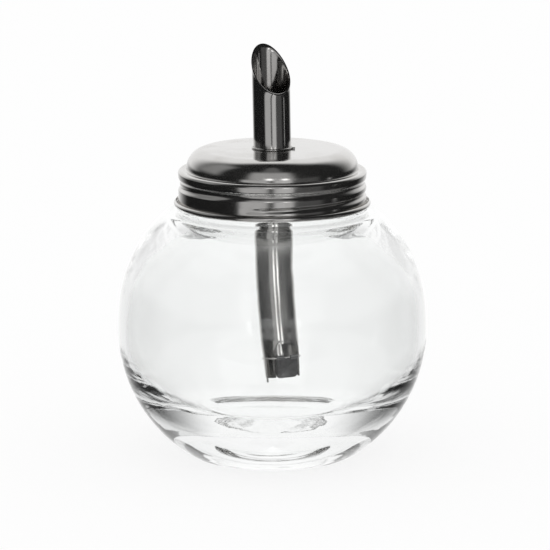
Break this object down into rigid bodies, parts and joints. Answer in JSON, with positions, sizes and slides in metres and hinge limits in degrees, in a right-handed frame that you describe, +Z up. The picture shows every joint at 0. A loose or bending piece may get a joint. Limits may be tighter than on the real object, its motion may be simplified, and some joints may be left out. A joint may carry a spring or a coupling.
{
  "type": "sugar dispenser",
  "caption": "Round glass sugar dispenser with a steel screw cap, a slanted pouring tube that reaches down inside, and a small hinged flap at the tube's lower end.",
  "frame": {"origin": "middle of the jar's foot, on the table", "axes": "+Z up through the jar, -Y towards the front; the mouth and the flap face 25 degrees from -Y towards +X"},
  "size_m": [0.1046, 0.1046, 0.1381],
  "materials": {
    "glass": "clear, fire polished",
    "seal": "soft, matt",
    "polished_steel": "mirror polished stainless steel",
    "steel_wire": "drawn stainless wire",
    "flap_steel": "satin stainless sheet"
  },
  "bodies": {
    "jar": {"glass_jar": "glass"},
    "seal": {"sealing_ring": "seal"},
    "cap": {"cap_shell": "polished_steel", "pouring_tube": "polished_steel", "tube_ring": "steel_wire", "tube_collar": "polished_steel", "end_sleeve": "polished_steel", "hinge_wire": "steel_wire"},
    "flap": {"flap": "flap_steel"}
  },
  "joints": [
    {"name": "cap_lift", "type": "slide", "parent": "jar", "child": "seal", "axis": [0, 0, 1], "range_m": [0, 0.004]},
    {"name": "cap_turn", "type": "hinge", "parent": "seal", "child": "cap", "pos_m": [0, 0, 0.095], "axis": [0, 0, 1], "range_deg": [0, 360]},
    {"name": "flap_swing", "type": "hinge", "parent": "cap", "child": "flap", "pos_m": [0.00488, -0.01046, 0.03472], "axis": [0.9063, 0.4226, 0], "range_deg": [-155, 69]}
  ],
  "couplings": [
    {"joint": "cap_lift", "follows": "cap_turn", "m_per_rad": 0.00063662}
  ]
}
